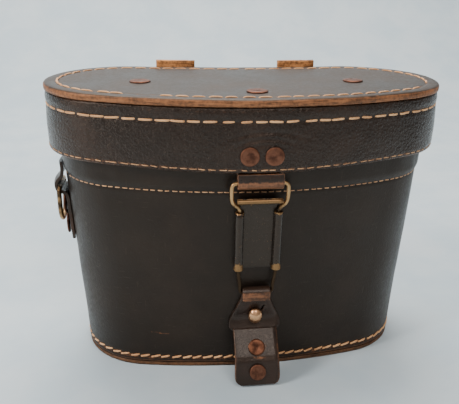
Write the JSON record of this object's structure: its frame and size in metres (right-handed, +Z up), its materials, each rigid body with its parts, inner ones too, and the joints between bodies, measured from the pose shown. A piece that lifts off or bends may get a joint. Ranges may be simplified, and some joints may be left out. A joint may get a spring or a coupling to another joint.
{
  "type": "opera glasses case",
  "caption": "Hard leather case for opera glasses or small binoculars, kidney-shaped and tapered, with a hinged lid, a hasp that buttons down over a stud, and a ring at its left end.",
  "frame": {"origin": "middle of the case's base, on the surface it stands on", "axes": "+Z up out of the lid, -Y out of the front with the hasp, +X to the right seen from the front"},
  "size_m": [0.187, 0.0982, 0.137],
  "materials": {
    "sole_leather": "burnished edge",
    "case_leather": "smooth, waxed",
    "throat_leather": "smooth",
    "lid_top_leather": "worn matt",
    "lid_band_leather": "grained, glossy",
    "tab_leather": "worn, glossy",
    "strap_leather": "worn, glossy",
    "pull_leather": "worn to tan at its edges",
    "hinge_leather": "tan at its cut ends",
    "lining_suede": "soft nap",
    "felt": "felt",
    "rivet_copper": "tarnished copper",
    "stud_brass": "polished by use",
    "frame_brass": "worn",
    "ring_brass": "tarnished",
    "hasp_paint": "black enamel worn to brass"
  },
  "bodies": {
    "case": {"base_plate": "sole_leather", "base_pad": "felt", "body_wall": "case_leather", "body_lining": "lining_suede", "throat_band": "throat_leather", "latch_stud": "stud_brass", "stud_washer": "stud_brass", "side_chape_left": "strap_leather", "side_rivet_left_upper": "rivet_copper", "side_rivet_left_lower": "rivet_copper", "hinge_strap_lower_left": "hinge_leather", "hinge_rivet_left_middle": "rivet_copper", "hinge_rivet_left_lower": "rivet_copper", "hinge_strap_lower_right": "hinge_leather", "hinge_rivet_right_middle": "rivet_copper", "hinge_rivet_right_lower": "rivet_copper"},
    "lid": {"lid_top": "lid_top_leather", "lid_band": "lid_band_leather", "lid_lining": "lining_suede", "lid_pad": "felt", "lid_top_rivet_left": "rivet_copper", "lid_top_rivet_middle": "rivet_copper", "lid_top_rivet_right": "rivet_copper", "lid_front_rivet_left": "rivet_copper", "lid_front_rivet_right": "rivet_copper", "lid_tab": "tab_leather", "hinge_strap_upper_left": "hinge_leather", "hinge_rivet_left_upper": "rivet_copper", "hinge_strap_upper_right": "hinge_leather", "hinge_rivet_right_upper": "rivet_copper"},
    "hasp": {"hasp_frame": "frame_brass", "hasp_plate": "hasp_paint"},
    "strap": {"closure_strap": "strap_leather", "pull_tab": "pull_leather", "pull_rivet_upper": "rivet_copper", "pull_rivet_lower": "rivet_copper"},
    "d_ring_left": {"d_ring_left": "ring_brass"}
  },
  "joints": [
    {"name": "lid_hinge", "type": "hinge", "parent": "case", "child": "lid", "pos_m": [0, 0.03804, 0.104], "axis": [-1, 0, 0], "range_deg": [0, 110]},
    {"name": "hasp_hinge", "type": "hinge", "parent": "lid", "child": "hasp", "pos_m": [0, -0.0483, 0.0975], "axis": [-1, 0, 0], "range_deg": [0, 90]},
    {"name": "strap_fold", "type": "hinge", "parent": "hasp", "child": "strap", "pos_m": [0, -0.04449, 0.043], "axis": [-1, 0, 0], "range_deg": [0, 100]},
    {"name": "left_ring_hinge", "type": "hinge", "parent": "case", "child": "d_ring_left", "pos_m": [-0.08936, 0, 0.084], "axis": [0, 1, 0], "range_deg": [0, 120]}
  ]
}
